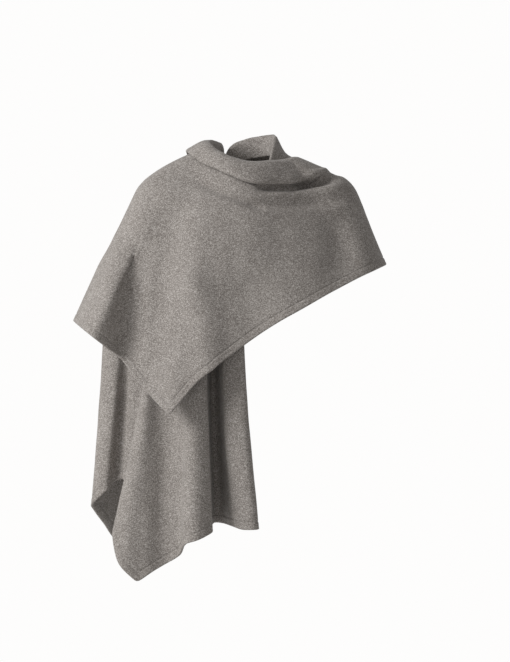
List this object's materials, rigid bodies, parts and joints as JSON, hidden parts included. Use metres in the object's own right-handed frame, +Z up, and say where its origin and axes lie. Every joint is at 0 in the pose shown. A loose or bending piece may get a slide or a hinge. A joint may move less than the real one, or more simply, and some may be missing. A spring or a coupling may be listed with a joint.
{
  "type": "stole",
  "caption": "Thick felted wool stole worn wrapped round the shoulders, with a folded cowl at the neck, a pointed panel across the chest and a long end hanging in front.",
  "frame": {"origin": "middle of the neck opening, where the wearer's neck and shoulders hold the stole up", "axes": "+Z up, -Y is the front of the garment, -X is the wearer's right"},
  "size_m": [0.6466, 0.3662, 0.9225],
  "materials": {
    "felt": "matt felted wool, warm mid grey melange",
    "felt_hem": "matt felted wool, turned hem"
  },
  "bodies": {
    "root": {"end_front": "felt", "side_fold": "felt", "back_wrap": "felt", "wrap_front": "felt", "end_over_shoulder": "felt", "hem_end_front": "felt_hem", "hem_tip": "felt_hem", "hem_side": "felt_hem", "hem_back": "felt_hem", "hem_wrap_front": "felt_hem", "hem_short_edge": "felt_hem", "hem_short_edge_back": "felt_hem", "hem_free_edge": "felt_hem"}
  },
  "joints": []
}
